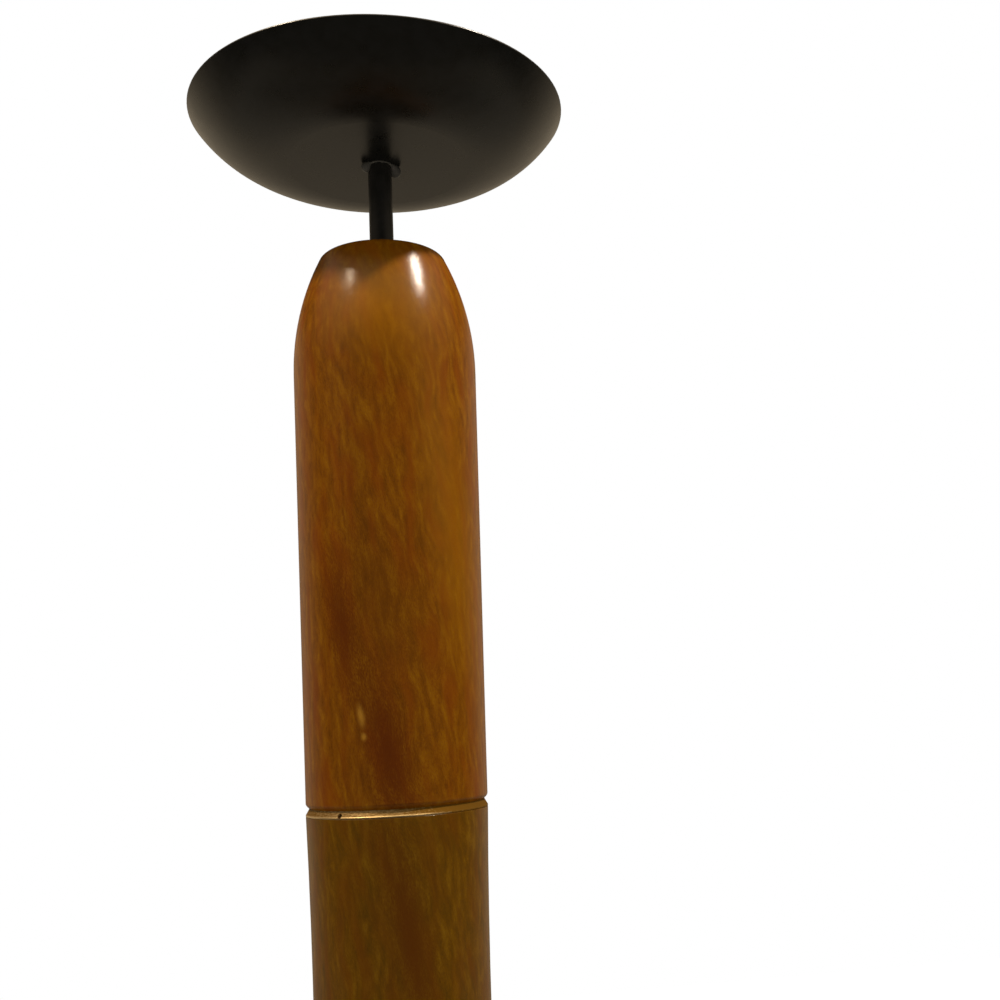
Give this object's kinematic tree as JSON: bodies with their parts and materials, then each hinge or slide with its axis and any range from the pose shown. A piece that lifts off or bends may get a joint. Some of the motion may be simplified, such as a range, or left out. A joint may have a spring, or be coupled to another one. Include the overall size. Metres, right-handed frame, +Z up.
{
  "type": "pricket candle stand",
  "caption": "Turned wooden column candle stand on a round foot, with a brass ring at its joint and a black steel drip dish whose spike holds a pillar candle.",
  "frame": {"origin": "on the floor, on the axis of the column", "axes": "+Z up along the column; the side seen in the picture faces -Y"},
  "size_m": [0.15, 0.15, 0.4534],
  "materials": {
    "black_paint": "satin black paint",
    "weld_paint": "satin black paint over a rough weld",
    "upper_wood": "honey-brown lacquered hardwood",
    "lower_wood": "olive-brown lacquered hardwood",
    "dowel_wood": "plain beech",
    "brass": "turned brass",
    "steel": "zinc plated",
    "felt": "pressed wool felt"
  },
  "bodies": {
    "stand": {"base_felt": "felt", "base_disc": "lower_wood", "base_bolt": "steel", "base_washer": "steel", "base_insert": "brass", "base_dowel_1": "dowel_wood", "base_dowel_2": "dowel_wood", "lower_column": "lower_wood", "joint_insert": "brass"},
    "ring": {"brass_ring": "brass"},
    "column": {"upper_column": "upper_wood", "joint_stud": "steel", "stem_socket": "steel"},
    "pricket": {"drip_dish": "black_paint", "pricket_rod": "black_paint", "weld_bead": "weld_paint"}
  },
  "joints": [
    {"name": "ring_rise", "type": "slide", "parent": "stand", "child": "ring", "axis": [0, 0, 1], "range_m": [0, 0.024]},
    {"name": "column_unscrew", "type": "hinge", "parent": "ring", "child": "column", "pos_m": [0, 0, 0.206], "axis": [0, 0, 1], "range_deg": [0, 5760]},
    {"name": "dish_lift", "type": "slide", "parent": "column", "child": "pricket", "axis": [0, 0, 1], "range_m": [0, 0.04]}
  ],
  "couplings": [
    {"joint": "ring_rise", "follows": "column_unscrew", "m_per_rad": 0.00023873}
  ]
}
